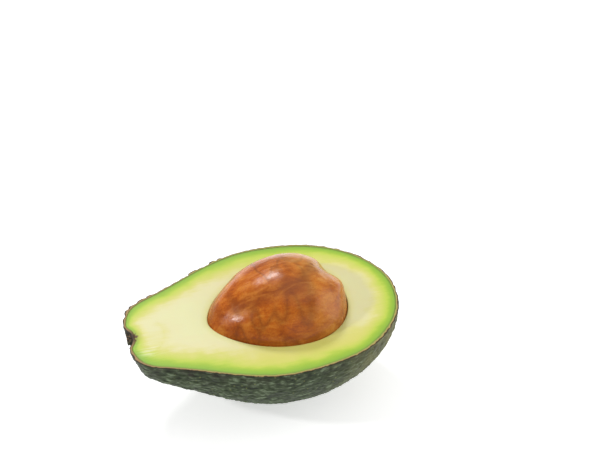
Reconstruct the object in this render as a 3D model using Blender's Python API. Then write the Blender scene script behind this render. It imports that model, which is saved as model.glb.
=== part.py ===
"""Halved avocado with its seed, lying on its peel with the cut face up.

Frame: metres, +Z up, +X from the stem end to the blossom end, +Y across.
The origin is the middle of the small flat spot that the half rests on.
Each solid is half of a rounded form that is cut by the level plane z = CUT_HEIGHT.
"""

import math

import bmesh
import bpy
from mathutils import Matrix, Vector

# Driving dimensions of the fruit.
STEM_REACH = 0.0592  # widest station to the stem end
BLOSSOM_REACH = 0.0465  # widest station to the blossom end
HALF_WIDTH = 0.0358
CUT_HEIGHT = 0.0354  # the half is HALF_WIDTH deep, and the flat spot takes the difference

# Shape of the long outline: how far the neck narrows and leans, and how blunt each end is.
NECK_NARROWING = 0.497
NECK_POWER = 2.34
NECK_LEAN = 0.0013  # how far the stem end has grown towards -Y
STEM_UNDERCUT = 0.28  # how much the stem end draws back for each unit of depth below the cut
UNDERCUT_POWER = 6  # the higher, the closer to the stem end the drawing back stays
STEM_BLUNTNESS = 17.4
BLOSSOM_BLUNTNESS = 2.2

# Layers.
PEEL_THICKNESS = 0.0010
GAP = 0.0003

# Dimple that holds the rest of the stalk.
DIMPLE_DEPTH = 0.0026
DIMPLE_RADIUS = 0.0048
DIMPLE_SIDE = -0.0012  # its place across the fruit

# Seed, an egg whose narrow end points to the stem.
SEED_CENTRE_X, SEED_CENTRE_Y = 0.0051, 0.0012
SEED_SINK = 0.0035  # its middle lies this far below the cut
SEED_TURN = math.radians(6.5)  # about Z, which takes the narrow end towards -Y
SEED_STEM_REACH = 0.0341
SEED_BLOSSOM_REACH = 0.0215
SEED_HALF_WIDTH = 0.0235
SEED_HALF_DEPTH = 0.0197
SEED_STEM_TAPER = 0.71  # 0.5 is an ellipse, more is pointed, less is blunt
SEED_BLOSSOM_TAPER = 0.45

# Rest of the stalk, cut in half with the fruit.
BUTTON_RADIUS = 0.0027
BUTTON_LENGTH = 0.0012
BUTTON_ROUNDING = 0.0003
BUTTON_CLEARANCE = 1.5 * GAP  # the dimple's floor is curved, so the flat end stands off a little more

# Facets.
FRUIT_AROUND, FRUIT_ALONG = 48, 38
RING_GATHERING = 1.3  # above 1 the rings stand closer together at the dimple
SEED_AROUND, SEED_ALONG = 40, 26
BUTTON_AROUND = 24
BUTTON_BEVEL_STEPS = 3
SHARP_EDGE = math.radians(30.0)

ON_PLANE = 1e-6


def ring_radius(reach_share, bluntness):
    """Radius of an end of the form, as a share of its widest, at a share of its reach."""
    return math.sqrt(max(0.0, 1.0 - reach_share**bluntness))


def gathered(unit_x):
    """The same station on the unit sphere's axis, moved so that rings gather at the stem end."""
    from_stem = math.acos(max(-1.0, min(1.0, -unit_x))) / math.pi
    return -math.cos(math.pi * from_stem**RING_GATHERING)


def fruit_point(unit, inset):
    """Where a point of the unit sphere lies on the fruit, with the skin taken in by inset."""
    width = HALF_WIDTH - inset
    station = gathered(unit.x)
    share = min(1.0, abs(station))
    if station < 0:
        x = -(STEM_REACH - inset) * share
        neck = 1.0 - NECK_NARROWING * math.sin(math.pi / 2 * share) ** NECK_POWER
        radius = width * neck * ring_radius(share, STEM_BLUNTNESS)
    else:
        x = (BLOSSOM_REACH - inset) * share
        radius = width * ring_radius(share, BLOSSOM_BLUNTNESS)
    around = Vector((unit.y, unit.z))
    if around.length > ON_PLANE:
        around.normalize()
    y, z = radius * around
    if station < 0:
        y -= NECK_LEAN * share**2
        x += STEM_UNDERCUT * share**UNDERCUT_POWER * max(0.0, -z)
        off_axis = math.hypot(y - DIMPLE_SIDE, z) / DIMPLE_RADIUS
        x += DIMPLE_DEPTH * math.exp(-(off_axis**4))
    return Vector((x, y, z + CUT_HEIGHT))


def seed_point(unit, growth):
    """Where a point of the unit sphere lies on the seed, grown outwards by growth."""
    share = min(1.0, abs(unit.x))
    reach, taper = SEED_BLOSSOM_REACH, SEED_BLOSSOM_TAPER
    if unit.x < 0:
        reach, taper = SEED_STEM_REACH, SEED_STEM_TAPER
    radius = (1.0 - share**2) ** taper
    around = Vector((unit.y, unit.z))
    if around.length > ON_PLANE:
        around.normalize()
    x = math.copysign((reach + growth) * share, unit.x)
    y = (SEED_HALF_WIDTH + growth) * radius * around.x
    z = (SEED_HALF_DEPTH + growth) * radius * around.y
    turned = Matrix.Rotation(SEED_TURN, 3, "Z") @ Vector((x, y, z))
    return turned + Vector((SEED_CENTRE_X, SEED_CENTRE_Y, CUT_HEIGHT - SEED_SINK))


def add_form(bm, around, along, place):
    """Adds a sphere with its poles on X to the bmesh, moved by place, and returns its vertices."""
    poles_on_x = Matrix.Rotation(math.pi / 2, 4, "Y")
    made = bmesh.ops.create_uvsphere(
        bm, u_segments=around, v_segments=along, radius=1.0, matrix=poles_on_x
    )
    for vert in made["verts"]:
        vert.co = place(vert.co)
    return made["verts"]


def keep_below_cut(bm, verts):
    """Cuts these vertices' surface at the cut plane and removes what is above it."""
    faces = {face for vert in verts for face in vert.link_faces}
    edges = {edge for face in faces for edge in face.edges}
    bmesh.ops.bisect_plane(
        bm,
        geom=list(verts) + list(edges) + list(faces),
        dist=ON_PLANE,
        plane_co=(0, 0, CUT_HEIGHT),
        plane_no=(0, 0, 1),
        clear_outer=True,
    )


def add_half_shell(bm, around, along, place, inner=False):
    """Adds the lower half of a form, open at the cut plane, as an outer or an inner wall."""
    verts = add_form(bm, around, along, place)
    if inner:
        faces = {face for vert in verts for face in vert.link_faces}
        bmesh.ops.reverse_faces(bm, faces=list(faces))
    keep_below_cut(bm, verts)


def flatten_foot(bm):
    """Cuts the outer skin off at the floor and closes the cut with one flat face."""
    bmesh.ops.bisect_plane(
        bm,
        geom=bm.verts[:] + bm.edges[:] + bm.faces[:],
        dist=ON_PLANE,
        plane_co=(0, 0, 0),
        plane_no=(0, 0, -1),
        clear_outer=True,
    )
    foot = [e for e in bm.edges if e.is_boundary and max(v.co.z for v in e.verts) < ON_PLANE]
    bmesh.ops.contextual_create(bm, geom=foot)


def rim_edges(bm):
    """The open edges in the cut plane."""
    return [
        edge
        for edge in bm.edges
        if edge.is_boundary and all(abs(v.co.z - CUT_HEIGHT) < ON_PLANE for v in edge.verts)
    ]


def material(name, colour, roughness):
    """A Principled material with one colour."""
    made = bpy.data.materials.new(name)
    made.use_nodes = True
    made.diffuse_color = (*colour, 1.0)
    shader = made.node_tree.nodes["Principled BSDF"]
    shader.inputs["Base Color"].default_value = (*colour, 1.0)
    shader.inputs["Roughness"].default_value = roughness
    shader.inputs["Metallic"].default_value = 0.0
    return made


def finish(name, bm, surface):
    """Turns the bmesh into a named object with its material and smooth shading."""
    bmesh.ops.recalc_face_normals(bm, faces=bm.faces)
    mesh = bpy.data.meshes.new(name)
    bm.to_mesh(mesh)
    bm.free()
    mesh.materials.append(surface)
    mesh.shade_smooth()
    mesh.set_sharp_from_angle(angle=SHARP_EDGE)
    made = bpy.data.objects.new(name, mesh)
    bpy.context.scene.collection.objects.link(made)
    return made


def make_peel():
    """A thin open shell with a flat foot, its outer and inner walls joined along the cut rim."""
    bm = bmesh.new()
    add_half_shell(bm, FRUIT_AROUND, FRUIT_ALONG, lambda unit: fruit_point(unit, 0.0))
    flatten_foot(bm)
    add_half_shell(
        bm, FRUIT_AROUND, FRUIT_ALONG, lambda unit: fruit_point(unit, PEEL_THICKNESS), inner=True
    )
    bmesh.ops.bridge_loops(bm, edges=rim_edges(bm))
    return finish("peel", bm, material("dark green peel", (0.045, 0.062, 0.028), 0.45))


def make_flesh():
    """The green and yellow flesh, with the hollow that the seed lies in."""
    bm = bmesh.new()
    inset = PEEL_THICKNESS + GAP
    add_half_shell(bm, FRUIT_AROUND, FRUIT_ALONG, lambda unit: fruit_point(unit, inset))
    add_half_shell(bm, SEED_AROUND, SEED_ALONG, lambda unit: seed_point(unit, GAP), inner=True)
    bmesh.ops.triangle_fill(bm, use_beauty=True, edges=rim_edges(bm), normal=(0, 0, 1))
    return finish("flesh", bm, material("avocado flesh", (0.80, 0.78, 0.38), 0.40))


def make_seed():
    """The whole seed, half of it standing above the cut face."""
    bm = bmesh.new()
    add_form(bm, SEED_AROUND, SEED_ALONG, lambda unit: seed_point(unit, 0.0))
    return finish("seed", bm, material("brown seed coat", (0.40, 0.13, 0.035), 0.35))


def dimple_floor_x():
    """Along X, the dimple's floor at the edge of the stem button."""
    depth = DIMPLE_DEPTH * math.exp(-((BUTTON_RADIUS / DIMPLE_RADIUS) ** 4))
    return -STEM_REACH + depth


def make_stem_button():
    """The rest of the stalk: a short round plug in the dimple, halved by the cut."""
    bm = bmesh.new()
    bmesh.ops.create_cone(
        bm,
        cap_ends=True,
        segments=BUTTON_AROUND,
        radius1=BUTTON_RADIUS,
        radius2=BUTTON_RADIUS,
        depth=BUTTON_LENGTH,
        matrix=Matrix.Rotation(-math.pi / 2, 4, "Y"),
    )
    outer = [e for e in bm.edges if all(v.co.x < 0 for v in e.verts)]
    bmesh.ops.bevel(
        bm,
        geom=outer,
        offset=BUTTON_ROUNDING,
        segments=BUTTON_BEVEL_STEPS,
        profile=0.5,
        affect="EDGES",
        material=-1,
    )
    centre_x = dimple_floor_x() - BUTTON_CLEARANCE - BUTTON_LENGTH / 2
    bmesh.ops.translate(bm, verts=bm.verts, vec=(centre_x, DIMPLE_SIDE, CUT_HEIGHT))
    keep_below_cut(bm, bm.verts[:])
    bmesh.ops.contextual_create(bm, geom=rim_edges(bm))
    return finish("stem_button", bm, material("dry stalk", (0.10, 0.065, 0.035), 0.80))


def main():
    """Clears the scene and builds the half fruit."""
    for old in list(bpy.data.objects):
        bpy.data.objects.remove(old)
    half = bpy.data.objects.new("halved_avocado", None)
    bpy.context.scene.collection.objects.link(half)
    for made in (make_peel(), make_flesh(), make_seed(), make_stem_button()):
        made.parent = half


main()
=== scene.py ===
"""Looks of a halved avocado with its seed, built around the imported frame.

Four pieces stand for the four solids of the frame: the pebbled peel, the cut flesh, the seed and
the rest of the stalk. Lengths are in metres, and MM turns a size in millimetres into metres. The
frame has its origin under the widest part of the fruit, with +X from the stem end to the blossom
end and +Z up.
"""

from __future__ import annotations

import logging
import math
from collections.abc import Callable
from dataclasses import dataclass, field
from enum import Enum
from typing import ClassVar

import bmesh
import bpy
from mathutils import Matrix, Vector, kdtree, noise

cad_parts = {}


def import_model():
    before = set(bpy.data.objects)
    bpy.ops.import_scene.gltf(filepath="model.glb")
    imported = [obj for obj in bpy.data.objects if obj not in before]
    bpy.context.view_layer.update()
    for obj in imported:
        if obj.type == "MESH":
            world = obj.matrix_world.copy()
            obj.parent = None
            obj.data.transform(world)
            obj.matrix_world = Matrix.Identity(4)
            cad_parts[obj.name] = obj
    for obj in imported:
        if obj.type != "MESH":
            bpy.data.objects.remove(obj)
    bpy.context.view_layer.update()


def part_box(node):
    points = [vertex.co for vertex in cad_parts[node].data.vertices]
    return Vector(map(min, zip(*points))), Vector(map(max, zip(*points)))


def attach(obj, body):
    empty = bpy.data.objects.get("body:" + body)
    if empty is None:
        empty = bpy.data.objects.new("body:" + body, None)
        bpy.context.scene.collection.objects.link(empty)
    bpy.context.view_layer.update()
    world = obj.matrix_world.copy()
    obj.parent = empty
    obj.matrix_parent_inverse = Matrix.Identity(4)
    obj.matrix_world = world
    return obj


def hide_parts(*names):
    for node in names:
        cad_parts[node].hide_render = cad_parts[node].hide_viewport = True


LOG = logging.getLogger("avocado")

MM = 0.001
ON_PLANE = 0.001 * MM
SOLVER_STEPS = 26  # halvings of a search along a ray, to well under a micrometre
PATTERN_SEED = 7  # without a seed, noise vectors differ from one run to the next
MIX_SHARE, MIX_BASE, MIX_OVER, MIX_RESULT = 0, 6, 7, 2  # the sockets of a mix of colours
OCTAVE_ROUGHNESS, OCTAVE_STEP = 1.0, 2.0  # how fast finer octaves of fractal noise fade and shrink

Socket = bpy.types.NodeSocket
Layer = bmesh.types.BMLayerItem
Stops = tuple[tuple[float, str], ...]  # positions on a ramp and their sRGB hex colours
Span = tuple[float, ...]  # two values and, for a material, what they become if not 0 and 1


class Mark(str, Enum):
    """Names of the values that a mesh carries at its vertices for its material."""

    RIM_DISTANCE = "rim_distance"
    SEED_DISTANCE = "seed_distance"
    STALK_DISTANCE = "stalk_distance"
    SALLOW = "sallow"
    SMEAR = "smear"
    WALL_SHARE = "wall_share"
    # 1 on pebble tops, which the skin paints lighter as painted highlight, with painted shade
    # between them
    PEBBLE_LIGHT_AND_SHADE = "pebble"
    RIM_DEPTH = "rim_depth"
    STEMWARD = "stemward"
    BLOSSOMWARD = "blossomward"
    SCAR = "scar"
    # painted shade on the seed: along its valley's crease and low on its front
    VALLEY_AND_LOW_SHADE = "valley"
    # the seed coat's own paler tan at the blossom end, partly a painted highlight on its top
    GOLDEN_AND_HIGHLIGHT = "golden"
    PITH = "pith"


# --- Small helpers ------------------------------------------------------------------------------


def smoothstep(low: float, high: float, value: float) -> float:
    """Eases from 0 at low to 1 at high.

    Args:
        low: value at which the step starts.
        high: value at which the step ends; it may lie below low.
        value: where the step is read.

    Returns:
        A share from 0 to 1.
    """
    share = min(1.0, max(0.0, (value - low) / (high - low)))
    return share * share * (3.0 - 2.0 * share)


def bell(distance: float, width: float) -> float:
    """A bump of height 1 that fades with distance.

    Args:
        distance: distance from the middle of the bump.
        width: distance at which the bump has sunk to about a third.

    Returns:
        A share from 0 to 1.
    """
    return math.exp(-((distance / width) ** 2))


def farthest_inside(inside: Callable[[float], bool], limit: float) -> float:
    """Searches a ray for the place where it leaves a solid.

    Args:
        inside: tells whether the point at a distance along the ray is inside.
        limit: a distance that is surely outside.

    Returns:
        The distance at which the ray leaves.
    """
    low, high = 0.0, limit
    for _ in range(SOLVER_STEPS):
        middle = (low + high) / 2
        if inside(middle):
            low = middle
        else:
            high = middle
    return low


def crumple(point: Vector, size: float, octaves: int) -> float:
    """Fractal noise around 0, with patches of a size and finer octaves on them."""
    return noise.fractal(point / size, OCTAVE_ROUGHNESS, OCTAVE_STEP, octaves)


def linear(hex_colour: str) -> tuple[float, float, float, float]:
    """Turns an sRGB hex colour into the linear colour that shaders use.

    Args:
        hex_colour: six hex digits after a hash sign.

    Returns:
        Red, green, blue and an alpha of 1.
    """
    shares = (int(hex_colour[i : i + 2], 16) / 255 for i in (1, 3, 5))
    red, green, blue = (s / 12.92 if s <= 0.04045 else ((s + 0.055) / 1.055) ** 2.4 for s in shares)
    return red, green, blue, 1.0


@dataclass(frozen=True)
class Pattern:
    """Soft noise around 0.5 for a material, on the object's own axes."""

    size: float  # of its patches
    detail: float = 3.0  # how many finer octaves are added
    distortion: float = 0.0  # how far the patches are stirred
    shrink: tuple[float, float, float] = (1.0, 1.0, 1.0)  # below 1 it draws them out on that axis


class Shading:
    """A material in the making: its Principled shader and the nodes that feed it."""

    def __init__(
        self,
        name: str,
        constants: dict[str, object],
        marks: tuple[Mark, ...] = (),
        patterns: tuple[Pattern, ...] = (),
    ) -> None:
        """Makes the material and the nodes for what it reads.

        Args:
            name: the material's name.
            constants: values that are the same all over, by the shader's socket.
            marks: the mesh's values that it reads, which self.marks gives in the same order.
            patterns: the patterns that it reads, which self.patterns gives in the same order.
        """
        self.material = bpy.data.materials.new(name)
        self.material.use_nodes = True
        self.shader = self.material.node_tree.nodes["Principled BSDF"]
        for socket, value in constants.items():
            self.shader.inputs[socket].default_value = value
        self.place = self.add("TexCoord", output="Object")
        self.marks = [
            self.add("Attribute", output="Fac", attribute_name=mark.value) for mark in marks
        ]
        self.patterns = []
        for pattern in patterns:
            inputs = {
                "Vector": self.add("Mapping", {"Vector": self.place, "Scale": pattern.shrink}),
                "Scale": 1 / pattern.size,
                "Detail": pattern.detail,
                "Distortion": pattern.distortion,
            }
            self.patterns.append(self.add("TexNoise", inputs))

    def add(
        self,
        kind: str,
        inputs: tuple | dict = (),
        stops: Stops = (),
        output: int | str = 0,
        **settings: object,
    ) -> Socket:
        """Adds a node with its settings and links.

        Args:
            kind: the node's type after "ShaderNode".
            inputs: outputs and values for its inputs, in their order or by name or number.
            stops: the positions and colours of a ramp.
            output: the output that is wanted, by name or number.
            settings: the node's own properties.

        Returns:
            That output.
        """
        tree = self.material.node_tree
        node = tree.nodes.new("ShaderNode" + kind)
        for name, value in settings.items():
            setattr(node, name, value)
        for name, value in inputs.items() if isinstance(inputs, dict) else enumerate(inputs):
            if isinstance(value, Socket):
                tree.links.new(value, node.inputs[name])
            else:
                node.inputs[name].default_value = value
        for number, (position, colour) in enumerate(stops):
            elements = node.color_ramp.elements
            element = elements[number] if number < len(elements) else elements.new(position)
            element.position, element.color = position, linear(colour)
        return node.outputs[output]

    def feed(self, socket: str, value: Socket) -> None:
        """Leads a value into one of the shader's sockets."""
        self.material.node_tree.links.new(value, self.shader.inputs[socket])

    def finish(
        self,
        base: Socket,
        layers: tuple[tuple[Socket, str], ...],
        height: Socket,
        depth: float,
        strength: float,
    ) -> bpy.types.Material:
        """Gives the shader its colour and a relief too fine for the mesh.

        Args:
            base: the lowest colour.
            layers: shares, each with the sRGB hex colour that it lays over what is below.
            height: where the relief stands out.
            depth: how far it stands out.
            strength: share of the relief that shows.

        Returns:
            The finished material.
        """
        for share, over in layers:
            inputs = {MIX_SHARE: share, MIX_BASE: base, MIX_OVER: linear(over)}
            base = self.add("Mix", inputs, output=MIX_RESULT, data_type="RGBA")
        self.feed("Base Color", base)
        relief = {"Height": height, "Distance": depth, "Strength": strength}
        self.feed("Normal", self.add("Bump", relief))
        return self.material


def marked_bmesh(*marks: Mark) -> tuple[bmesh.types.BMesh, list[Layer]]:
    """Makes an empty bmesh with a float layer for each mark.

    Args:
        marks: the values that its vertices will carry.

    Returns:
        The bmesh and its layers in the same order.
    """
    bm = bmesh.new()
    for mark in marks:
        bm.verts.layers.float.new(mark.value)
    return bm, [bm.verts.layers.float[mark.value] for mark in marks]


def closed_rows(
    bm: bmesh.types.BMesh, around: int, rows: int
) -> dict[bmesh.types.BMVert, tuple[float, int]]:
    """Adds a closed surface of rows between two poles, which the caller then places.

    Args:
        bm: an empty bmesh.
        around: faces in each row.
        rows: rows of faces from pole to pole.

    Returns:
        For each vertex its turn about the poles' axis, in radians, and its row, from 0 to rows.
    """
    grid = bmesh.ops.create_grid(bm, x_segments=around, y_segments=rows, size=1.0)["verts"]
    spots = {
        vert: (round((vert.co.x + 1) / 2 * around), round((vert.co.y + 1) / 2 * rows))
        for vert in grid
    }
    kept = {spot: vert for vert, spot in spots.items()}
    doubles = {}
    for vert, (column, row) in spots.items():
        home = (0, row) if row in (0, rows) else (column % around, row)
        if home != (column, row):
            doubles[vert] = kept[home]
    bmesh.ops.weld_verts(bm, targetmap=doubles)
    return {
        vert: (2 * math.pi * column / around, row)
        for vert, (column, row) in spots.items()
        if vert not in doubles
    }


def finish_piece(
    name: str, bm: bmesh.types.BMesh, materials: list[bpy.types.Material], node: str
) -> bpy.types.Object:
    """Turns a bmesh into a smooth-shaded piece that stands for a node of the frame.

    Args:
        name: the piece's name.
        bm: the finished bmesh, which is freed.
        materials: the piece's materials in slot order.
        node: the frame's node that the piece replaces, which is hidden.

    Returns:
        The piece, at the origin, riding on the frame's body.
    """
    mesh = bpy.data.meshes.new(name)
    bm.to_mesh(mesh)
    bm.free()
    mesh.shade_smooth()
    for material in materials:
        mesh.materials.append(material)
    piece = bpy.data.objects.new(name, mesh)
    bpy.context.scene.collection.objects.link(piece)
    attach(piece, "root")
    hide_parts(node)
    LOG.info("%s: %d vertices, %d faces", name, len(mesh.vertices), len(mesh.polygons))
    return piece


# --- Forms that the pieces share ----------------------------------------------------------------


@dataclass(frozen=True)
class FruitForm:
    """The round, pear-shaped outer form of the fruit, without its pebbles."""

    stem_reach: float
    blossom_reach: float
    half_width: float
    cut_height: float
    stem_overreach: ClassVar[float] = 0.6 * MM
    neck_narrowing: float = 0.497
    neck_power: float = 2.34
    neck_lean: float = 1.3 * MM
    stem_undercut: float = 0.22  # how much the stem end draws back for each unit of depth
    undercut_power: float = 6.0
    stem_bluntness: float = 17.4
    blossom_bluntness: float = 2.2
    dimple_depth: float = 2.6 * MM
    dimple_radius: float = 4.8 * MM
    dimple_side: float = -1.2 * MM
    core_x: float = 4.0 * MM  # rays that look for the skin start here on the axis
    sway: float = 0.35 * MM  # how far the grown form wanders from the ideal one
    sway_scale: float = 2.1  # waves of that wandering per unit of direction
    table_steps: int = 3000  # directions for which the distance to the skin is worked out
    tables: dict[float, list[float]] = field(default_factory=dict, compare=False)

    @classmethod
    def from_frame(cls) -> FruitForm:
        """Reads the sizes from the frame's peel.

        Returns:
            The form; its stem end passes the frame's by what the dimple and the neck take off.
        """
        low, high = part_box("peel")
        return cls(
            stem_reach=cls.stem_overreach - low.x,
            blossom_reach=high.x,
            half_width=(high.y - low.y) / 2,
            cut_height=high.z,
        )

    def radius(self, x: float, inset: float) -> float:
        """Radius of the form at a station.

        Args:
            x: station along the fruit.
            inset: how far the form is taken in all round.

        Returns:
            The radius, 0 past either end.
        """
        width = self.half_width - inset
        if x < 0:
            share = min(1.0, -x / (self.stem_reach - inset))
            neck = 1.0 - self.neck_narrowing * math.sin(math.pi / 2 * share) ** self.neck_power
            return width * neck * math.sqrt(1.0 - share**self.stem_bluntness)
        share = min(1.0, x / (self.blossom_reach - inset))
        return width * math.sqrt(1.0 - share**self.blossom_bluntness)

    def skin(self, direction: Vector, inset: float) -> Vector:
        """Where a ray from the core leaves the form.

        Args:
            direction: unit vector of the ray.
            inset: how far the form is taken in all round.

        Returns:
            The point, with the neck's lean, the stalk's dimple and the natural sway worked in.
        """
        if inset not in self.tables:
            self.tables[inset] = [self._reach(i, inset) for i in range(self.table_steps + 1)]
        step = math.acos(max(-1.0, min(1.0, direction.x))) / math.pi * self.table_steps
        low = min(self.table_steps - 1, int(step))
        near, far = self.tables[inset][low : low + 2]
        reach = near + (far - near) * (step - low)
        reach += self.sway * noise.noise(direction * self.sway_scale)
        point = direction * reach
        point.x += self.core_x
        if point.x < 0:
            stemward = self.stemward(point.x)
            point.y -= self.neck_lean * stemward**2
            point.x += self.stem_undercut * stemward**self.undercut_power * max(0.0, -point.z)
            from_stalk = math.hypot(point.y - self.dimple_side, point.z) / self.dimple_radius
            point.x += self.dimple_depth * math.exp(-(from_stalk**4))
        point.z += self.cut_height
        return point

    def _reach(self, step: int, inset: float) -> float:
        """Distance from the core to the plain form.

        Args:
            step: number of the direction in the table, from +X to -X.
            inset: how far the form is taken in all round.

        Returns:
            The distance.
        """
        polar = math.pi * step / self.table_steps
        ahead, aside = math.cos(polar), math.sin(polar)

        def inside(distance: float) -> bool:
            """Whether the form reaches this far out."""
            return distance * aside < self.radius(self.core_x + distance * ahead, inset)

        return farthest_inside(inside, self.stem_reach + self.blossom_reach)

    def stemward(self, x: float) -> float:
        """0 at the widest station and beyond, 1 at the stem end."""
        return min(1.0, max(0.0, -x / self.stem_reach))

    def from_stalk(self, point: Vector) -> float:
        """Distance of a point from the middle of the stalk's dimple."""
        stalk = Vector((self.dimple_depth - self.stem_reach, self.dimple_side, self.cut_height))
        return (point - stalk).length


@dataclass(frozen=True)
class SeedForm:
    """The egg form of the seed, whose narrow end points to the stem."""

    centre: Vector
    stem_reach: float = 34.1 * MM
    blossom_reach: float = 21.5 * MM
    half_width: float = 23.5 * MM
    half_depth: float = 19.7 * MM
    turn: float = math.radians(6.5)
    stem_taper: float = 0.71
    blossom_taper: float = 0.45

    @classmethod
    def from_frame(cls) -> SeedForm:
        """Reads the seed's widest station from the frame's box, whose middle lies off it.

        Returns:
            The form.
        """
        low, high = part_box("seed")
        half_length = (cls.stem_reach + cls.blossom_reach) / 2
        along = Vector((math.cos(cls.turn), math.sin(cls.turn), 0))
        return cls(centre=(low + high) / 2 + along * (half_length - cls.blossom_reach))

    def girth(self, along: float) -> float:
        """Radius at a station, as a share of the widest; along runs from -1 to 1."""
        taper = self.stem_taper if along < 0 else self.blossom_taper
        return max(0.0, 1.0 - along * along) ** taper

    def reach(self, local_x: float) -> float:
        """Length of the egg's end on which a station lies."""
        return self.stem_reach if local_x < 0 else self.blossom_reach

    def from_local(self, local: Vector) -> Vector:
        """Turns a point on the seed's own axes into a place in the frame."""
        return Matrix.Rotation(self.turn, 3, "Z") @ local + self.centre

    def inside(self, point: Vector, growth: float) -> bool:
        """Whether a point lies inside the seed.

        Args:
            point: place in the frame.
            growth: how far the seed's surface is moved out.

        Returns:
            True inside.
        """
        local = Matrix.Rotation(-self.turn, 3, "Z") @ (point - self.centre)
        girth = self.girth(local.x / (self.reach(local.x) + growth))
        across = local.y / (self.half_width + growth)
        deep = local.z / (self.half_depth + growth)
        return math.hypot(across, deep) < girth

    def edge(self, turn: float, z: float, growth: float) -> Vector:
        """Where a level ray from the seed's upright axis leaves the seed.

        Args:
            turn: direction of the ray about Z.
            z: height of the ray.
            growth: how far the seed's surface is moved out.

        Returns:
            The point on the surface.
        """
        start = Vector((self.centre.x, self.centre.y, z))
        ray = Vector((math.cos(turn), math.sin(turn), 0))
        limit = 2 * self.stem_reach
        return start + ray * farthest_inside(lambda d: self.inside(start + ray * d, growth), limit)


# --- Finishes -----------------------------------------------------------------------------------


@dataclass(frozen=True)
class PeelFinish:
    """Living avocado skin: thick, waxy and dark green, which gives each pebble a soft gloss."""

    # the palest greens come partly from painted highlight on pebble tops, the darkest partly from
    # painted shade between them
    greens: Stops = ((0.38, "#20291a"), (0.49, "#37422b"), (0.57, "#4e5a42"), (0.66, "#748367"))
    olive_tan: str = "#75724c"
    plum_brown: str = "#2c1f20"
    speck: str = "#7f8548"
    scar_brown: str = "#2c211b"
    mottle: Pattern = Pattern(6.0 * MM, detail=5.0)
    streak: Pattern = Pattern(0.9 * MM, detail=4.0, shrink=(0.32, 0.32, 1.0))
    patch: Pattern = Pattern(5.0 * MM, detail=4.0)
    grain: Pattern = Pattern(0.5 * MM)  # the wax is finer; it is drawn as coarse as it shows
    tone_shares: tuple[float, ...] = (0.25, 0.6, 0.18)  # of mottle, streak and pebble
    plum_depth: Span = (9.0, 0.0)  # mm below the rim
    plum_patches: Span = (0.44, 0.62)
    plum_stemward: Span = (0.0, 0.9, 0.12, 0.9)
    tan_mottle: Span = (0.36, 0.62, 0.35, 0.85)
    speck_spacing: float = 2.2 * MM
    speck_edge: Span = (0.20, 0.10)  # where a speck ends and is full, as shares of the spacing
    speck_chance: float = 0.5
    speck_share: float = 0.5
    roughness: Span = (0.3, 0.7, 0.45, 0.62)
    grain_depth: float = 0.10 * MM
    grain_strength: float = 0.6

    def material(self) -> bpy.types.Material:
        """Builds the skin's material.

        Returns:
            The material.
        """
        look = Shading(
            "avocado_skin",
            {"IOR": 1.45, "Specular IOR Level": 0.16},
            (Mark.PEBBLE_LIGHT_AND_SHADE, Mark.STEMWARD, Mark.BLOSSOMWARD, Mark.RIM_DEPTH, Mark.SCAR),
            (self.mottle, self.streak, self.patch, self.grain),
        )
        pebble, stemward, blossomward, rim_depth, scar = look.marks
        mottle, streak, patch, grain = look.patterns
        # the pebble mark in the tone paints highlight on pebble tops and shade between them
        tone = 0.0
        for part, share in zip((mottle, streak, pebble), self.tone_shares):
            tone = look.add("Math", (part, share, tone), operation="MULTIPLY_ADD")
        plum = look.add("MapRange", (rim_depth, *self.plum_depth))
        for value, span in ((patch, self.plum_patches), (stemward, self.plum_stemward)):
            factor = look.add("MapRange", (value, *span))
            plum = look.add("Math", (plum, factor), operation="MULTIPLY")
        # lighter olive tan in patches towards the blossom end
        olive_patches = look.add("MapRange", (mottle, *self.tan_mottle))
        olive_toward_blossom = look.add("Math", (blossomward, olive_patches), operation="MULTIPLY")
        cell = look.add("TexVoronoi", {"Vector": look.place, "Scale": 1 / self.speck_spacing})
        chance = cell.node.outputs["Color"]
        picked = look.add("Math", (chance, self.speck_chance), operation="GREATER_THAN")
        dot = look.add("MapRange", (cell, *self.speck_edge, 0.0, self.speck_share))
        specks = look.add("Math", (dot, picked), operation="MULTIPLY")
        look.feed("Roughness", look.add("MapRange", (mottle, *self.roughness)))
        layers = (
            (olive_toward_blossom, self.olive_tan),
            (plum, self.plum_brown),
            (specks, self.speck),
            (scar, self.scar_brown),
        )
        greens = look.add("ValToRGB", (tone,), self.greens)
        return look.finish(greens, layers, grain, self.grain_depth, self.grain_strength)


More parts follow.
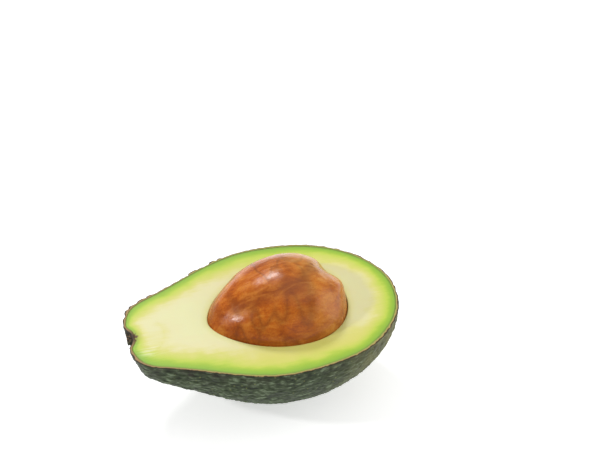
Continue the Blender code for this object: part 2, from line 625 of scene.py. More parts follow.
@dataclass(frozen=True)
class CutPeelFinish:
    """Cut edge of the skin: corky and dry, so it is dull, dark outside and tan to olive inside."""

    wall: Stops = (  # from the crust outside through bark and cork to the green inside
        (0.18, "#3a3524"),
        (0.34, "#7c5a34"),
        (0.48, "#b59f63"),
        (0.74, "#b0ac5a"),
        (1.0, "#7f9a42"),
    )
    dried: str = "#a5805c"
    scar_brown: str = "#3a2a1c"
    fleck: Pattern = Pattern(1.4 * MM)
    fleck_shift: Span = (0.3, 0.7, -0.16, 0.16)  # how far it moves the colours in the wall
    dried_wall: Span = (0.28, 0.46)
    dried_stemward: Span = (0.35, 1.0, 0.0, 0.8)
    fleck_depth: float = 0.1 * MM
    fleck_strength: float = 0.6

    def material(self) -> bpy.types.Material:
        """Builds the cut edge's material.

        Returns:
            The material.
        """
        look = Shading(
            "cut_skin_edge",
            {"Roughness": 0.6, "IOR": 1.4},
            (Mark.WALL_SHARE, Mark.STEMWARD, Mark.SCAR),
            (self.fleck,),
        )
        wall_share, stemward, scar = look.marks
        fleck = look.patterns[0]
        shift = look.add("MapRange", (fleck, *self.fleck_shift))
        depth = look.add("Math", (wall_share, shift), operation="ADD")
        inner = look.add("MapRange", (depth, *self.dried_wall))
        toward_stem = look.add("MapRange", (stemward, *self.dried_stemward))
        dried = look.add("Math", (inner, toward_stem), operation="MULTIPLY")
        layers = ((dried, self.dried), (scar, self.scar_brown))
        wall = look.add("ValToRGB", (depth,), self.wall)
        return look.finish(wall, layers, fleck, self.fleck_depth, self.fleck_strength)


@dataclass(frozen=True)
class FleshFinish:
    """Ripe flesh: fatty and moist, so light sinks in and the cut face is soft with a dull sheen."""

    band: Stops = (  # from the green under the peel through lime and butter to ivory
        (0.0, "#849f44"),
        (0.04, "#91bd3a"),
        (0.12, "#a6c93c"),
        (0.20, "#c6d851"),
        (0.28, "#d3da67"),
        (0.37, "#dddc7c"),
        (0.46, "#e6e19a"),
        (0.60, "#ebe6b2"),
        (0.95, "#ebeab4"),
    )
    band_reach: float = 16.8  # mm from the rim at which the band's last position, 1, lies
    sallow: str = "#dad768"
    smear: str = "#f2f3cf"
    fibre_brown: str = "#5d3c1e"
    fibre_halo: str = "#b3ae50"
    wander: Pattern = Pattern(8.0 * MM)
    cut_marks: Pattern = Pattern(1.6 * MM, detail=4.0, distortion=0.4, shrink=(0.16, 1.0, 1.0))
    fibre: Pattern = Pattern(0.9 * MM, detail=2.0)
    grain: Pattern = Pattern(0.8 * MM, detail=4.0)  # cells are finer; drawn as coarse as they show
    wander_stretch: Span = (0.3, 0.7, 0.84, 1.22)  # by how much it moves the band's colours
    mark_stretch: Span = (0.3, 0.7, 0.90, 1.10)
    stalk_stretch: Span = (12.0, 4.0, 1.0, 2.6)  # from mm, as are the reaches below
    sallow_reach: Span = (2.5, 7.0, 0.0, 0.75)
    halo_reach: Span = (3.0, 0.0, 0.0, 0.45)
    scrape: Span = (0.48, 0.64, 0.0, 0.6)
    ring_reach: Span = (4.6, 1.2, 0.0, 0.7)
    fibre_reach: Span = (3.8, 1.0, -0.2, 0.46)
    fibre_edge: Span = (0.62, 0.78, 0.0, 0.95)
    grain_depth: float = 0.08 * MM
    grain_strength: float = 0.35

    def material(self) -> bpy.types.Material:
        """Builds the flesh's material.

        Returns:
            The material.
        """
        look = Shading(
            "avocado_flesh",
            {
                "Roughness": 0.5,
                "IOR": 1.4,
                "Subsurface Weight": 0.15,
                "Subsurface Radius": (1.0, 0.85, 0.35),
                "Subsurface Scale": 1.5 * MM,
            },
            (Mark.RIM_DISTANCE, Mark.SEED_DISTANCE, Mark.STALK_DISTANCE, Mark.SALLOW, Mark.SMEAR),
            (self.wander, self.cut_marks, self.fibre, self.grain),
        )
        depth, from_seed, from_stalk, sallow, smear = look.marks
        wander, cut_marks, fibre, grain = look.patterns
        for value, span in (
            (wander, self.wander_stretch),
            (cut_marks, self.mark_stretch),
            (from_stalk, self.stalk_stretch),
        ):
            stretch = look.add("MapRange", (value, *span))
            depth = look.add("Math", (depth, stretch), operation="MULTIPLY")
        inner = look.add("MapRange", (depth, *self.sallow_reach))
        scrape = look.add("MapRange", (cut_marks, *self.scrape))
        near_stalk = look.add("MapRange", (from_stalk, *self.fibre_reach))
        fibres = look.add("Math", (fibre, near_stalk), operation="ADD")
        layers = (
            (look.add("Math", (sallow, inner), operation="MULTIPLY"), self.sallow),
            (look.add("MapRange", (from_seed, *self.halo_reach)), self.sallow),
            (look.add("Math", (smear, scrape), operation="MULTIPLY"), self.smear),
            (look.add("MapRange", (from_stalk, *self.ring_reach)), self.fibre_halo),
            (look.add("MapRange", (fibres, *self.fibre_edge)), self.fibre_brown),
        )
        reached = look.add("Math", (depth, self.band_reach), operation="DIVIDE")
        band = look.add("ValToRGB", (reached,), self.band)
        return look.finish(band, layers, grain, self.grain_depth, self.grain_strength)


@dataclass(frozen=True)
class SeedFinish:
    """Seed coat: a thin brown skin over a hard seed, so it is smooth, veined and half glossy."""

    browns: Stops = ((0.29, "#8c3f0c"), (0.39, "#a64e0d"), (0.48, "#bf6112"), (0.60, "#d6812a"))
    vein: str = "#7d3b0e"
    # dark brown of the painted shade along the valley and low on the front
    painted_shade_brown: str = "#8b4316"
    # paler gold: the coat's own tan, partly a painted highlight on the top
    gold_and_painted_highlight: str = "#d2a052"
    mottle: Pattern = Pattern(8.0 * MM, detail=4.0, distortion=0.5)
    streak: Pattern = Pattern(2.2 * MM, detail=4.0, distortion=0.5, shrink=(0.3, 1.0, 1.0))
    speckle: Pattern = Pattern(0.6 * MM, detail=2.0)
    winding: Pattern = Pattern(13.0 * MM, detail=1.0, distortion=0.6, shrink=(1.0, 0.5, 0.5))
    grain: Pattern = Pattern(0.6 * MM, detail=4.0, shrink=(0.3, 1.0, 1.0))
    tone_shares: tuple[float, ...] = (0.45, 0.3, 0.25)  # of mottle, streak and speckle
    vein_middle: float = 0.5  # veins lie where the winding pattern has this value
    vein_edge: Span = (0.05, 0.0, 0.0, 0.55)
    painted_shade_streak: Span = (0.35, 0.6, 0.95, 0.5)
    gold_and_highlight_streak: Span = (0.35, 0.6, 0.35, 0.9)
    roughness: Span = (0.3, 0.7, 0.17, 0.33)
    grain_depth: float = 0.09 * MM
    grain_strength: float = 0.45

    def material(self) -> bpy.types.Material:
        """Builds the seed coat's material.

        Returns:
            The material.
        """
        look = Shading(
            "seed_coat",
            {"IOR": 1.42, "Specular IOR Level": 0.38},
            (Mark.VALLEY_AND_LOW_SHADE, Mark.GOLDEN_AND_HIGHLIGHT),
            (self.mottle, self.streak, self.speckle, self.winding, self.grain),
        )
        valley, golden = look.marks
        mottle, streak, speckle, winding, grain = look.patterns
        tone = 0.0
        for part, share in zip((mottle, streak, speckle), self.tone_shares):
            tone = look.add("Math", (part, share, tone), operation="MULTIPLY_ADD")
        off_vein = look.add("Math", (winding, self.vein_middle), operation="SUBTRACT")
        off_vein = look.add("Math", (off_vein,), operation="ABSOLUTE")
        # painted shade along the valley and low on the front, broken up by the streaks
        painted_shade_streaks = look.add("MapRange", (streak, *self.painted_shade_streak))
        # gold: the coat's own tan, partly a painted highlight, broken up by the streaks
        gilded_and_highlighted = look.add("MapRange", (streak, *self.gold_and_highlight_streak))
        look.feed("Roughness", look.add("MapRange", (streak, *self.roughness)))
        layers = (
            (look.add("MapRange", (off_vein, *self.vein_edge)), self.vein),
            (look.add("Math", (valley, painted_shade_streaks), operation="MULTIPLY"), self.painted_shade_brown),
            (look.add("Math", (golden, gilded_and_highlighted), operation="MULTIPLY"), self.gold_and_painted_highlight),
        )
        browns = look.add("ValToRGB", (tone,), self.browns)
        return look.finish(browns, layers, grain, self.grain_depth, self.grain_strength)


@dataclass(frozen=True)
class StalkFinish:
    """Dry stalk: dead bark round a paler pith, rough and without gloss."""

    bark: Stops = ((0.42, "#241d15"), (0.66, "#4c5038"))
    pith: str = "#8a6446"
    fibre: Pattern = Pattern(1.1 * MM, detail=4.0)
    pith_fibre: Span = (0.45, 0.6, 0.0, 0.8)
    fibre_depth: float = 0.2 * MM
    fibre_strength: float = 0.8

    def material(self) -> bpy.types.Material:
        """Builds the stalk's material.

        Returns:
            The material.
        """
        constants = {"Roughness": 0.8, "IOR": 1.4}
        look = Shading("dry_stalk", constants, (Mark.PITH,), (self.fibre,))
        fibre = look.patterns[0]
        torn = look.add("MapRange", (fibre, *self.pith_fibre))
        pale = look.add("Math", (look.marks[0], torn), operation="MULTIPLY")
        bark = look.add("ValToRGB", (fibre,), self.bark)
        layers = ((pale, self.pith),)
        return look.finish(bark, layers, fibre, self.fibre_depth, self.fibre_strength)


# --- Pieces -------------------------------------------------------------------------------------


def level_ray(turn: float) -> Vector:
    """The level unit vector at an angle about Z."""
    return Vector((math.cos(turn), math.sin(turn), 0))


def bowl_ray(turn: float, drop: float) -> Vector:
    """The unit vector at an angle about Z that points down by another angle."""
    return level_ray(turn) * math.cos(drop) - Vector((0, 0, math.sin(drop)))


@dataclass
class Peel:
    """The skin: a thin bowl with pebbles outside and a flat cut rim."""

    form: FruitForm
    thickness: float = 0.95 * MM
    around: int = 600
    outer_rows: int = 144
    inner_rows: int = 10
    rim_strips: int = 5
    pebble_size: float = 3.7 * MM
    pebble_height_at_stem: float = 0.40 * MM
    pebble_height_at_blossom: float = 0.17 * MM
    pebble_edge: float = 0.35  # of its size, over which a pebble rises
    pebble_sag: float = 0.6  # how far its flank lies below its top
    pebble_level: float = 0.35  # share of its height that lies below the plain form
    pebble_bend: float = 0.35  # of its size, by which the pebbles' pattern is stirred
    tall_stemward: Span = (0.0, 0.6)  # nearness to the stem end at which they grow taller
    back_growth: float = 1.6  # share by which pebbles are taller on the +Y side of the neck
    back_side: Span = (0.0, 0.4)  # of the half width
    back_stemward: Span = (0.0, 0.3)
    fine_size: float = 1.5 * MM
    fine_height: float = 0.13 * MM
    fine_edge: float = 0.4
    fine_level: float = 0.5
    wrinkle_length: float = 5.0 * MM
    wrinkle_width: float = 1.3 * MM
    wrinkle_height: float = 0.30 * MM
    wrinkle_sharpness: float = 2.6
    wrinkle_level: float = 0.3
    wrinkle_drop: Span = (0.2, 0.8)  # depth below the cut at which the wrinkles set in
    wrinkle_fading: float = 0.6  # share of the wrinkles that is lost at the stem end
    blossom_creasing: float = 1.2  # how much of that height the wrinkles have at the blossom end
    blossom_creases: Span = (0.1, 0.8)  # of the blossom end's reach, as blossom_fade
    lump_size: float = 8.0 * MM
    lump_height: float = 0.33 * MM
    lump_at_blossom: float = 0.35
    # the top share feeds only the painted highlight on pebble tops and the painted shade between
    # them
    top_shares: tuple[float, ...] = (0.4, 0.25, 0.35)  # of dome, fine dome and wrinkle in a top
    edge_rounding: float = 0.10 * MM
    edge_share: float = 0.4  # of the wall's thickness that is rounded off
    edge_roughness: float = 0.06 * MM
    edge_rough_size: float = 1.3 * MM
    blossom_fade: Span = (0.05, 0.9)
    scar_reach: float = 3.4 * MM  # how far the brown of the stalk's scar spreads
    skin: PeelFinish = field(default_factory=PeelFinish)
    cut: CutPeelFinish = field(default_factory=CutPeelFinish)

    def build(self) -> bpy.types.Object:
        """Builds the bowl as one closed surface, then raises its pebbles and shapes its rim.

        Returns:
            The finished piece.
        """
        bm, layers = marked_bmesh(
            Mark.PEBBLE_LIGHT_AND_SHADE,
            Mark.WALL_SHARE,
            Mark.RIM_DEPTH,
            Mark.STEMWARD,
            Mark.BLOSSOMWARD,
            Mark.SCAR,
        )
        spots = closed_rows(bm, self.around, self.inner_rows + self.rim_strips + self.outer_rows)
        for vert, (turn, row) in spots.items():
            vert.co = self._place(turn, row)
        bmesh.ops.recalc_face_normals(bm, faces=bm.faces)
        bm.normal_update()
        rim_end = self.inner_rows + self.rim_strips
        for vert, (turn, row) in spots.items():
            if row >= self.inner_rows:
                self._note_place(vert, layers[2:])
            if row > rim_end:
                self._raise_pebbles(vert, layers[0])
            elif row >= self.inner_rows:
                self._shape_rim(vert, turn, (rim_end - row) / self.rim_strips, layers)
        for face in bm.faces:
            if all(spots[vert][1] <= rim_end for vert in face.verts):
                face.material_index = 1
        return finish_piece(
            "peel_skin", bm, [self.skin.material(), self.cut.material()], node="peel"
        )

    def _place(self, turn: float, row: int) -> Vector:
        """Where a vertex of the closed surface lies on the plain bowl.

        Args:
            turn: its direction about Z.
            row: its row, from the inner wall's bottom over the rim to the outer wall's bottom.

        Returns:
            The place in the frame.
        """
        rim_end = self.inner_rows + self.rim_strips
        if row <= self.inner_rows:
            drop = math.pi / 2 * (1.0 - row / self.inner_rows)
            return self.form.skin(bowl_ray(turn, drop), self.thickness)
        if row < rim_end:
            inset = self.thickness * (rim_end - row) / self.rim_strips
            return self.form.skin(level_ray(turn), inset)
        drop = math.pi / 2 * (row - rim_end) / self.outer_rows
        return self.form.skin(bowl_ray(turn, drop), 0.0)

    def _note_place(self, vert: bmesh.types.BMVert, layers: list[Layer]) -> None:
        """Notes what the materials read from a vertex's place.

        Args:
            vert: the vertex, before its relief.
            layers: the layers for depth below the rim, nearness to both ends and the scar.
        """
        rim_depth, stemward, blossomward, scar = layers
        vert[rim_depth] = (self.form.cut_height - vert.co.z) / MM
        vert[stemward] = self.form.stemward(vert.co.x)
        vert[blossomward] = smoothstep(*self.blossom_fade, vert.co.x / self.form.blossom_reach)
        vert[scar] = bell(self.form.from_stalk(vert.co), self.scar_reach)

    def _raise_pebbles(self, vert: bmesh.types.BMVert, pebble: Layer) -> None:
        """Moves a vertex of the outer skin out by its relief.

        Args:
            vert: the vertex.
            pebble: the layer that holds how far up a pebble it is.
        """
        height, vert[pebble] = self._relief(vert.co)
        vert.co += vert.normal * height
        vert.co.z = max(0.0, vert.co.z)

    def _shape_rim(
        self, vert: bmesh.types.BMVert, turn: float, share: float, layers: list[Layer]
    ) -> None:
        """Widens the rim where a pebble meets the cut, rounds its outer edge and roughens it.

        Args:
            vert: a vertex of the rim.
            turn: its direction about Z.
            share: 0 at the outer skin, 1 at the inner wall.
            layers: the mesh's layers; the first two hold how far up a pebble it is and the share.
        """
        pebble, wall_share = layers[:2]
        outer = self.form.skin(level_ray(turn), 0.0)
        out = (outer - self.form.skin(level_ray(turn), self.thickness)).normalized()
        height, vert[pebble] = self._relief(outer)
        vert.co += out * (height * (1.0 - share))
        vert[wall_share] = share
        rough = self.edge_roughness * noise.noise(vert.co / self.edge_rough_size)
        fall = self.edge_rounding * (1.0 - smoothstep(0.0, self.edge_share, share))
        vert.co.z = self.form.cut_height - fall + rough * math.sin(math.pi * share)

    def _relief(self, point: Vector) -> tuple[float, float]:
        """The skin's relief at a point of the plain form.

        Args:
            point: place on the form.

        Returns:
            How far the skin stands out there, and a share that is 1 on top of a pebble.
        """
        stemward = self.form.stemward(point.x)
        back = smoothstep(*self.back_side, point.y / self.form.half_width)
        back *= smoothstep(*self.back_stemward, stemward)
        tall = self.pebble_height_at_blossom + smoothstep(*self.tall_stemward, stemward) * (
            self.pebble_height_at_stem - self.pebble_height_at_blossom
        )
        tall *= 1.0 + self.back_growth * back
        bend = noise.noise_vector(point / (2 * self.pebble_size))
        bend *= self.pebble_bend * self.pebble_size
        near, next_near = noise.voronoi((point + bend) / self.pebble_size)[0][:2]
        dome = smoothstep(0.0, self.pebble_edge, next_near - near)
        dome *= 1.0 - self.pebble_sag * min(1.0, near) ** 2
        fine = noise.voronoi((point - bend) / self.fine_size)[0]
        fine_dome = smoothstep(0.0, self.fine_edge, fine[1] - fine[0])
        drawn = Vector((*point.xy / self.wrinkle_length, (point + bend).z / self.wrinkle_width))
        wrinkle = 1.0 - min(1.0, self.wrinkle_sharpness * abs(noise.noise(drawn)))
        low = smoothstep(*self.wrinkle_drop, 1.0 - point.z / self.form.cut_height)
        low *= 1.0 - self.wrinkle_fading * stemward
        beyond = smoothstep(*self.blossom_creases, point.x / self.form.blossom_reach)
        creased = max(low, self.blossom_creasing * beyond)
        lump = crumple(point, self.lump_size, 2) * (self.lump_at_blossom + stemward)
        height = tall * (dome - self.pebble_level)
        height += self.fine_height * (fine_dome - self.fine_level)
        height += self.wrinkle_height * creased * (wrinkle - self.wrinkle_level)
        height += self.lump_height * lump
        # this share is for the painted highlight on pebble tops and the painted shade between them
        parts = zip(self.top_shares, (dome, fine_dome, wrinkle))
        return height, sum(share * part for share, part in parts)


@dataclass
class Flesh:
    """The flesh: a level cut face with a hollow for the seed, inside the peel's wall."""

    form: FruitForm
    seed: SeedForm
    peel_thickness: float
    around: int = 600
    hollow_rows: int = 18
    lip_rows: int = 4
    face_rows: int = 56
    wall_rows: int = 16
    wall_gap: float = 0.02 * MM
    seed_gap: float = 0.10 * MM
    lip_radius: float = 0.5 * MM
    below_rim: float = 0.06 * MM
    wave_height: float = 0.12 * MM
    wave_size: float = 12.0 * MM
    smear_spot: Vector = field(default_factory=lambda: Vector((-51.5, -9.5, 0.0)) * MM)
    smear_reach: float = 3.5 * MM
    rim_samples: int = 2400  # points on the rim and the lip to which distances are taken
    green_growth: float = 0.24  # share by which the green band is wider away from the blossom end
    green_away: Span = (0.8, 0.2)
    neck_thinning: float = 0.34  # share by which it is narrower on the +Y side of the neck
    neck_stemward: Span = (0.15, 0.5)
    neck_side: Span = (0.0, 0.25)
    sallow_side: Span = (0.30, 0.62)  # of the half width, towards -Y
    sallow_start: Span = (-0.65, -0.15)  # of the blossom end's reach, as the next two
    sallow_end: Span = (0.95, 0.45)
    sallow_blossom: Span = (0.1, 0.5)
    sallow_at_blossom: float = 0.14
    finish: FleshFinish = field(default_factory=FleshFinish)
    lips: dict[float, Vector] = field(default_factory=dict)
    rims: dict[float, Vector] = field(default_factory=dict)

    def build(self) -> bpy.types.Object:
        """Builds the flesh as one closed surface.

        Returns:
            The finished piece.
        """
        bm, layers = marked_bmesh(
            Mark.RIM_DISTANCE, Mark.SEED_DISTANCE, Mark.STALK_DISTANCE, Mark.SALLOW, Mark.SMEAR
        )
        rows = self.hollow_rows + self.lip_rows + self.face_rows + self.wall_rows
        spots = closed_rows(bm, self.around, rows)
        for vert, (turn, row) in spots.items():
            vert.co = self._place(turn, row)
        self._note_distances(list(spots), layers[:3])
        for vert in spots:
            vert[layers[3]] = self._sallow(vert.co)
            off_smear = Vector((vert.co.x, vert.co.y, 0)) - self.smear_spot
            vert[layers[4]] = bell(off_smear.length, self.smear_reach)
        bmesh.ops.recalc_face_normals(bm, faces=bm.faces)
        return finish_piece("flesh_half", bm, [self.finish.material()], node="flesh")

    def _place(self, turn: float, row: int) -> Vector:
        """Where a vertex of the closed surface lies on the flesh.

        Args:
            turn: its direction about Z.
            row: its row: the hollow from its bottom up, the lip, the cut face and the wall.

        Returns:
            The place in the frame.
        """
        if row < self.hollow_rows:
            return self._hollow(turn, row / self.hollow_rows)
        row -= self.hollow_rows
        if row < self.lip_rows:
            return self._lip(turn, row / self.lip_rows)
        row -= self.lip_rows
        if row <= self.face_rows:
            return self._face(turn, row / self.face_rows)
        drop = math.pi / 2 * (row - self.face_rows) / self.wall_rows
        return self.form.skin(bowl_ray(turn, drop), self.peel_thickness + self.wall_gap)

    def _rim(self, turn: float) -> Vector:
        """Where the flesh meets the peel on the cut.

        Args:
            turn: direction about Z.

        Returns:
            The point, which is kept for the next time.
        """
        if turn not in self.rims:
            self.rims[turn] = self.form.skin(level_ray(turn), self.peel_thickness + self.wall_gap)
        return self.rims[turn]

    def _hollow(self, turn: float, share: float) -> Vector:
        """A point in the hollow.

        Args:
            turn: its direction about Z.
            share: 0 at the bottom, 1 below the lip.

        Returns:
            The point.
        """
        depth = self.seed.half_depth + self.seed_gap
        lip_level = self.form.cut_height - self.lip_radius
        widest = math.acos((self.seed.centre.z - lip_level) / depth)
        z = self.seed.centre.z - depth * math.cos(widest * share)
        if share < ON_PLANE:
            return Vector((self.seed.centre.x, self.seed.centre.y, z))
        return self.seed.edge(turn, z, self.seed_gap)

    def _lip(self, turn: float, share: float) -> Vector:
        """A point on the rounded lip.

        Args:
            turn: its direction about Z.
            share: 0 at the hollow's wall, 1 at the cut face.

        Returns:
            The point.
        """
        if turn not in self.lips:
            lip_level = self.form.cut_height - self.lip_radius
            self.lips[turn] = self.seed.edge(turn, lip_level, self.seed_gap)
        swing = math.pi / 2 * share
        edge = self.lips[turn] + level_ray(turn) * (self.lip_radius * (1 - math.cos(swing)))
        edge.z += self.lip_radius * math.sin(swing) - self._sunk(edge) * share
        return edge

    def _face(self, turn: float, share: float) -> Vector:
        """A point on the cut face.

        Args:
            turn: its direction about Z.
            share: 0 at the lip, 1 at the rim.

        Returns:
            The point.
        """
        point = self._lip(turn, 1.0).lerp(self._rim(turn), share)
        point.z = self.form.cut_height - self._sunk(point)
        return point

    def _sunk(self, point: Vector) -> float:
        """How far the cut face lies below the cut plane at a point."""
        level = Vector((point.x, point.y, 0)) / self.wave_size
        return self.below_rim + self.wave_height * (0.5 + 0.5 * noise.noise(level))

    def _sallow(self, point: Vector) -> float:
        """How yellow the flesh is: most on the -Y side of the seed, a little at the blossom end.

        Args:
            point: place on the flesh.

        Returns:
            A share from 0 to 1.
        """
        along = point.x / self.form.blossom_reach
        aside = smoothstep(*self.sallow_side, -point.y / self.form.half_width)
        beside = aside * smoothstep(*self.sallow_start, along) * smoothstep(*self.sallow_end, along)
        return max(beside, self.sallow_at_blossom * smoothstep(*self.sallow_blossom, along))

    def _note_distances(self, verts: list[bmesh.types.BMVert], layers: list[Layer]) -> None:
        """Notes each vertex's distances, in millimetres, for the material.

        Args:
            verts: the flesh's vertices.
            layers: the layers for the distances to the rim, the seed and the stalk.
        """
        rim_mark, seed_mark, stalk_mark = layers
        rim_tree, seed_tree = kdtree.KDTree(self.rim_samples), kdtree.KDTree(self.rim_samples)
        for i in range(self.rim_samples):
            turn = 2 * math.pi * i / self.rim_samples
            edge = self.seed.edge(turn, self.form.cut_height, self.seed_gap)
            rim_tree.insert(self._rim(turn).xy.to_3d(), i)
            seed_tree.insert(edge.xy.to_3d(), i)
        rim_tree.balance()
        seed_tree.balance()
        for vert in verts:
            level = vert.co.xy.to_3d()
            away = smoothstep(*self.green_away, level.x / self.form.blossom_reach)
            neck = smoothstep(*self.neck_stemward, self.form.stemward(level.x))
            neck *= smoothstep(*self.neck_side, level.y / self.form.half_width)
            spread = 1.0 - self.green_growth * away + self.neck_thinning * neck
            vert[rim_mark] = rim_tree.find(level)[2] * spread / MM
            vert[seed_mark] = seed_tree.find(level)[2] / MM
            vert[stalk_mark] = self.form.from_stalk(vert.co) / MM


@dataclass
class Seed:
    """The seed: an egg of two lobes with a shallow valley between them along its top."""

    form: SeedForm
    around: int = 260
    rows: int = 220
    valley_depth_at_tip: float = 0.15 * MM
    valley_depth_at_blossom: float = 0.55 * MM
    valley_width: float = 2.8 * MM
    valley_lean: float = math.radians(22)  # from upright towards -Y
    valley_righting: float = math.radians(48)  # how much less it leans at the blossom end
    righting_run: Span = (-0.1, 0.95)  # stations from -1 at the tip to 1, as the runs below
    deepening_run: Span = (-0.2, 0.65)
    tip_run: Span = (-1.0, -0.5)
    blossom_run: Span = (1.0, 0.7)
    end_run: Span = (1.0, 0.85)
    # painted shade: a dark streak along the valley's crease, and darkening low on the front
    shade_width: float = 1.3  # of the valley's dark streak, in valley widths
    painted_shade_level: Span = (11.0 * MM, 4.0 * MM)
    painted_shade_side: Span = (0.1, -0.6)
    painted_shade_share: float = 0.5
    # the gold is the coat's own tan at the blossom end, partly a painted highlight on the top
    golden_run: Span = (-0.4, 0.6)
    golden_side: Span = (-0.5, 0.6)
    golden_front: float = 0.3  # how golden the coat still is on the -Y side
    wave_size: float = 11.0 * MM
    wave_height: float = 0.25 * MM
    waist_spot: Vector = field(default_factory=lambda: Vector((17.7, 5.3, 10.7)) * MM)
    waist_depth: float = 1.2 * MM  # of the saddle in which the valley crosses to the far side
    waist_reach: float = 3.9 * MM
    shoulder_spot: Vector = field(default_factory=lambda: Vector((20.3, -1.6, 7.4)) * MM)
    shoulder_height: float = 0.7 * MM  # of the swelling between the saddle and the blossom end
    shoulder_reach: float = 3.2 * MM
    saddle_run: Vector = field(default_factory=lambda: Vector((0.29, 0.72, -0.63)).normalized())
    dent_size: float = 3.5 * MM
    dent_height: float = 0.07 * MM
    finish: SeedFinish = field(default_factory=SeedFinish)

    def build(self) -> bpy.types.Object:
        """Builds the seed.

        Returns:
            The finished piece.
        """
        bm, (valley_and_low_shade_mark, golden_and_highlight_mark) = marked_bmesh(Mark.VALLEY_AND_LOW_SHADE, Mark.GOLDEN_AND_HIGHLIGHT)
        for vert, (turn, row) in closed_rows(bm, self.around, self.rows).items():
            local = self._egg_point(turn, -math.cos(math.pi * row / self.rows))
            along = local.x / self.form.reach(local.x)
            off_valley = self._off_valley(local, along)
            shade = bell(off_valley, self.shade_width * self.valley_width)
            shade *= smoothstep(*self.tip_run, along) * smoothstep(*self.blossom_run, along)
            # painted shade low on the front, where little light reaches; one mark with the valley's
            low = self.painted_shade_share * smoothstep(*self.painted_shade_level, local.z)
            low *= smoothstep(*self.painted_shade_side, local.y / self.form.half_width)
            vert[valley_and_low_shade_mark] = max(shade, low)
            vert[golden_and_highlight_mark] = self._golden(local, along)
            local -= local.normalized() * self._sink(local, off_valley, along)
            vert.co = self.form.from_local(local)
        bmesh.ops.recalc_face_normals(bm, faces=bm.faces)
        return finish_piece("seed_whole", bm, [self.finish.material()], node="seed")

    def _egg_point(self, turn: float, along: float) -> Vector:
        """Where a point lies on the plain egg, on the seed's own axes.

        Args:
            turn: its direction about the seed's length.
            along: its station, from -1 at the tip to 1 at the blossom end.

        Returns:
            The point.
        """
        girth = self.form.girth(along)
        wide, deep = self.form.half_width * girth, self.form.half_depth * girth
        length = self.form.reach(along) * along
        return Vector((length, wide * math.cos(turn), deep * math.sin(turn)))

    def _off_valley(self, local: Vector, along: float) -> float:
        """Distance of a point from the plane that parts the two lobes, above the seed's axis.

        Args:
            local: the point, on the seed's own axes.
            along: its station, from -1 at the tip to 1 at the blossom end.

        Returns:
            The distance; a large one below the axis.
        """
        lean = self.valley_lean - self.valley_righting * smoothstep(*self.righting_run, along)
        across, above = math.cos(lean), math.sin(lean)
        if local.z * across - local.y * above < 0:
            return self.form.half_width
        return abs(local.y * across + local.z * above)

    def _sink(self, local: Vector, off_valley: float, along: float) -> float:
        """How far the surface lies below the plain egg.

        Args:
            local: point of the egg.
            off_valley: its distance from the lobes' parting plane.
            along: its station, from -1 at the tip to 1 at the blossom end.

        Returns:
            The sinking; below 0 where the surface stands out.
        """
        depth = self.valley_depth_at_tip + smoothstep(*self.deepening_run, along) * (
            self.valley_depth_at_blossom - self.valley_depth_at_tip
        )
        ends = smoothstep(*self.end_run, abs(along))
        sink = depth * bell(off_valley, self.valley_width) * ends
        off_waist = (local - self.waist_spot).cross(self.saddle_run).length
        off_shoulder = (local - self.shoulder_spot).cross(self.saddle_run).length
        sink += self.waist_depth * bell(off_waist, self.waist_reach)
        sink -= self.shoulder_height * bell(off_shoulder, self.shoulder_reach)
        sink -= self.wave_height * noise.noise(local / self.wave_size) * ends
        return sink - self.dent_height * crumple(local, self.dent_size, 2)

    def _golden(self, local: Vector, along: float) -> float:
        """How golden the coat is, partly a painted highlight: most on the +Y side of the blossom
        end.

        Args:
            local: the point, on the seed's own axes.
            along: its station, from -1 at the tip to 1 at the blossom end.

        Returns:
            A share from 0 to 1.
        """
        back = smoothstep(*self.golden_side, local.y / self.form.half_width)
        share = self.golden_front + (1.0 - self.golden_front) * back
        return smoothstep(*self.golden_run, along) * share


@dataclass
class StemButton:
    """The rest of the stalk: a short torn plug that the knife has halved."""

    form: FruitForm
    low: Vector
    high: Vector
    around: int = 96
    rows: int = 28
    squareness: float = 6.0  # of its profile; 2 is round
    tear_height: float = 0.35 * MM
    tear_size: float = 1.1 * MM
    root: float = 0.25 * MM  # how far it reaches into the gap that the frame leaves at the peel
    finish: StalkFinish = field(default_factory=StalkFinish)

    @classmethod
    def from_frame(cls, form: FruitForm) -> StemButton:
        """Reads the plug's box from the frame.

        Args:
            form: the fruit's form.

        Returns:
            The plug.
        """
        low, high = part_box("stem_button")
        return cls(form=form, low=low, high=high)

    def build(self) -> bpy.types.Object:
        """Builds the halved plug.

        Returns:
            The finished piece.
        """
        bm, (pith,) = marked_bmesh(Mark.PITH)
        radius = (self.high.y - self.low.y) / 2
        half_length = (self.high.x + self.root - self.low.x) / 2
        centre = Vector((self.low.x + half_length, (self.low.y + self.high.y) / 2, self.high.z))
        for vert, (turn, row) in closed_rows(bm, self.around, self.rows).items():
            along = -math.cos(math.pi * row / self.rows)
            girth = radius * (1.0 - abs(along) ** self.squareness) ** (1 / self.squareness)
            point = Vector((half_length * along, girth * math.cos(turn), girth * math.sin(turn)))
            torn = self.tear_height * crumple(point, self.tear_size, 3)
            vert.co = centre + point + point.normalized() * torn
        bmesh.ops.bisect_plane(
            bm,
            geom=bm.verts[:] + bm.edges[:] + bm.faces[:],
            dist=ON_PLANE,
            plane_co=(0, 0, self.high.z),
            plane_no=(0, 0, 1),
            clear_outer=True,
        )
        open_edges = [edge for edge in bm.edges if edge.is_boundary]
        bmesh.ops.triangle_fill(bm, use_beauty=True, edges=open_edges, normal=(0, 0, 1))
        for vert in bm.verts:
            vert[pith] = max(0.0, 1.0 - (vert.co.yz - centre.yz).length / radius)
        bmesh.ops.recalc_face_normals(bm, faces=bm.faces)
        return finish_piece("stem_button_dry", bm, [self.finish.material()], node="stem_button")


# --- Studio -------------------------------------------------------------------------------------


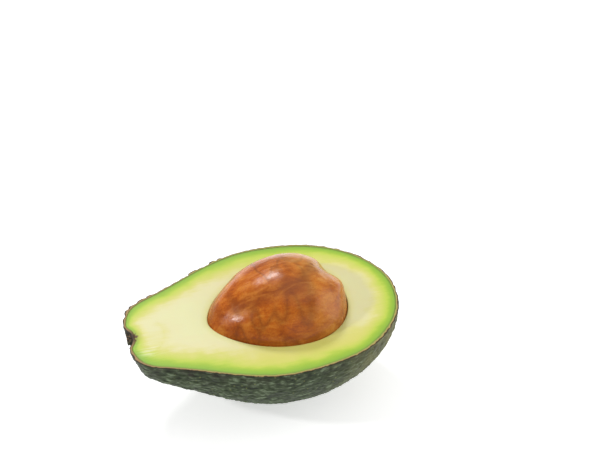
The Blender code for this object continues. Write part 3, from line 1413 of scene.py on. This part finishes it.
@dataclass(frozen=True)
class AreaLamp:
    """One soft lamp, given by where it stands as seen from the fruit."""

    name: str
    azimuth: float  # degrees; 0 is behind the fruit as the camera sees it, 90 to its right
    elevation: float  # degrees above the floor
    distance: float
    size: float
    power: float  # watts
    colour: str = "#ffffff"

    def build(self, aim: Vector) -> None:
        """Adds the lamp, turned to a point.

        Args:
            aim: where the lamp points.
        """
        around, above = math.radians(self.azimuth), math.radians(self.elevation)
        level = Vector((math.sin(around), math.cos(around), 0))
        out = level * math.cos(above) + Vector((0, 0, math.sin(above)))
        data = bpy.data.lights.new(self.name, "AREA")
        data.shape = "DISK"
        data.size = self.size
        data.energy = self.power
        data.color = linear(self.colour)[:3]
        lamp = bpy.data.objects.new(self.name, data)
        lamp.location = aim + out * self.distance
        lamp.rotation_euler = (-out).to_track_quat("-Z", "Y").to_euler()
        bpy.context.scene.collection.objects.link(lamp)


@dataclass
class Studio:
    """A white light table, soft lamps and the camera."""

    form: FruitForm
    azimuth: float = math.radians(-15.5)  # of the camera, from -Y towards +X
    elevation: float = math.radians(39.5)
    distance: float = 577.0 * MM
    lens: float = 85.0
    aim_ahead: Vector = field(default_factory=lambda: Vector((21.2, 45.3, 0.0)) * MM)
    floor_radius: float = 3.0
    floor_sides: int = 64
    floor_colour: str = "#f4f4f4"
    floor_glow: float = 0.58  # light of the table itself, which keeps its shadows soft and narrow
    sky_strength: float = 0.36
    lamps: tuple[AreaLamp, ...] = (  # azimuth, elevation, distance, size and power
        AreaLamp("overhead_softbox", 70, 74, 1.3, 1.3, 2.5),
        AreaLamp("back_softbox", -9, 44, 1.8, 0.36, 12.4),
        AreaLamp("left_softbox", -88, 33, 1.8, 0.15, 9.4),
        AreaLamp("right_fill", 98, 22, 1.1, 1.0, 4.0),
        AreaLamp("front_fill", 165, 24, 1.2, 0.8, 0.9),
    )

    def build(self) -> None:
        """Builds the floor, the light and the camera."""
        self._add_floor()
        aim = Vector((0, 0, self.form.cut_height))
        for lamp in self.lamps:
            lamp.build(aim)
        self._light_sky()
        self._add_camera(aim)
        bpy.context.scene.view_settings.view_transform = "Standard"

    def _add_floor(self) -> None:
        """Adds the light table that the fruit lies on."""
        bm = bmesh.new()
        sides, radius = self.floor_sides, self.floor_radius
        bmesh.ops.create_circle(bm, cap_ends=True, segments=sides, radius=radius)
        mesh = bpy.data.meshes.new("studio_floor")
        bm.to_mesh(mesh)
        bm.free()
        white = linear(self.floor_colour)
        glow = {"Emission Color": white, "Emission Strength": self.floor_glow}
        board = Shading("backlit_white_acrylic", {"Base Color": white, "Roughness": 0.9, **glow})
        mesh.materials.append(board.material)
        floor = bpy.data.objects.new("studio_floor", mesh)
        bpy.context.scene.collection.objects.link(floor)

    def _light_sky(self) -> None:
        """Gives the room an even white light."""
        world = bpy.data.worlds.new("white_room")
        bpy.context.scene.world = world
        world.use_nodes = True
        background = world.node_tree.nodes["Background"]
        background.inputs["Color"].default_value = linear("#ffffff")
        background.inputs["Strength"].default_value = self.sky_strength

    def _add_camera(self, middle: Vector) -> None:
        """Adds the camera.

        Args:
            middle: centre of the cut face, from which aim_ahead is measured.
        """
        level = Vector((math.sin(self.azimuth), -math.cos(self.azimuth), 0))
        back = level * math.cos(self.elevation) + Vector((0, 0, math.sin(self.elevation)))
        data = bpy.data.cameras.new("camera")
        data.lens = self.lens
        camera = bpy.data.objects.new("camera", data)
        camera.location = middle + self.aim_ahead + back * self.distance
        camera.rotation_euler = (-back).to_track_quat("-Z", "Y").to_euler()
        bpy.context.scene.collection.objects.link(camera)
        bpy.context.scene.camera = camera


def main() -> None:
    """Loads the frame, builds every piece and the studio, and logs each piece's vertex and face
    counts.
    """
    logging.basicConfig(level=logging.INFO, format="%(asctime)s %(message)s")
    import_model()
    noise.seed_set(PATTERN_SEED)
    fruit = FruitForm.from_frame()
    seed = SeedForm.from_frame()
    peel = Peel(form=fruit)
    peel.build()
    Flesh(form=fruit, seed=seed, peel_thickness=peel.thickness).build()
    Seed(form=seed).build()
    StemButton.from_frame(fruit).build()
    Studio(form=fruit).build()


if __name__ == "__main__":
    main()
